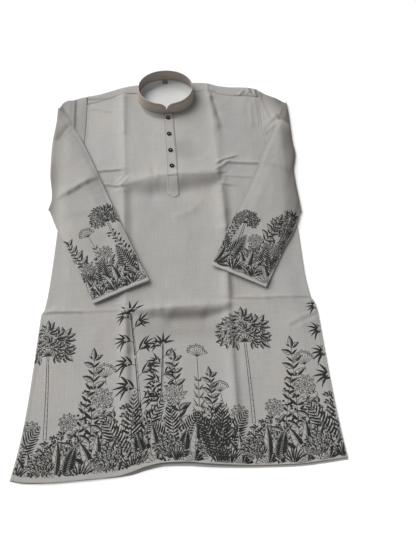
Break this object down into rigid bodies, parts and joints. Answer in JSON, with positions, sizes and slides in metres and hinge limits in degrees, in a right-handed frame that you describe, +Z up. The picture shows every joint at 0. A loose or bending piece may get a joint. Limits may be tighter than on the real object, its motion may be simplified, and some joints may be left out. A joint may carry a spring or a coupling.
{
  "type": "kurta tunic",
  "caption": "Long cotton kurta laid flat on its back, sleeves folded over the front, with a stand collar and a buttoned half placket.",
  "frame": {"origin": "middle of the garment's box, on the surface that it lies on", "axes": "+X across the garment, +Y from the hem to the collar, +Z up from the surface"},
  "size_m": [0.6633, 1.051, 0.0375],
  "materials": {
    "melange_cloth": "matte slub weave",
    "band_cloth": "matte, stiffened",
    "dark_button": "satin",
    "label_cloth": "matte woven tape"
  },
  "bodies": {
    "root": {"back_panel": "melange_cloth", "front_panel": "melange_cloth", "yoke": "melange_cloth", "sleeve_left": "melange_cloth", "sleeve_right": "melange_cloth", "placket": "melange_cloth", "collar_band": "band_cloth", "button_1": "dark_button", "button_2": "dark_button", "button_3": "dark_button", "button_4": "dark_button", "neck_label": "label_cloth"}
  },
  "joints": []
}
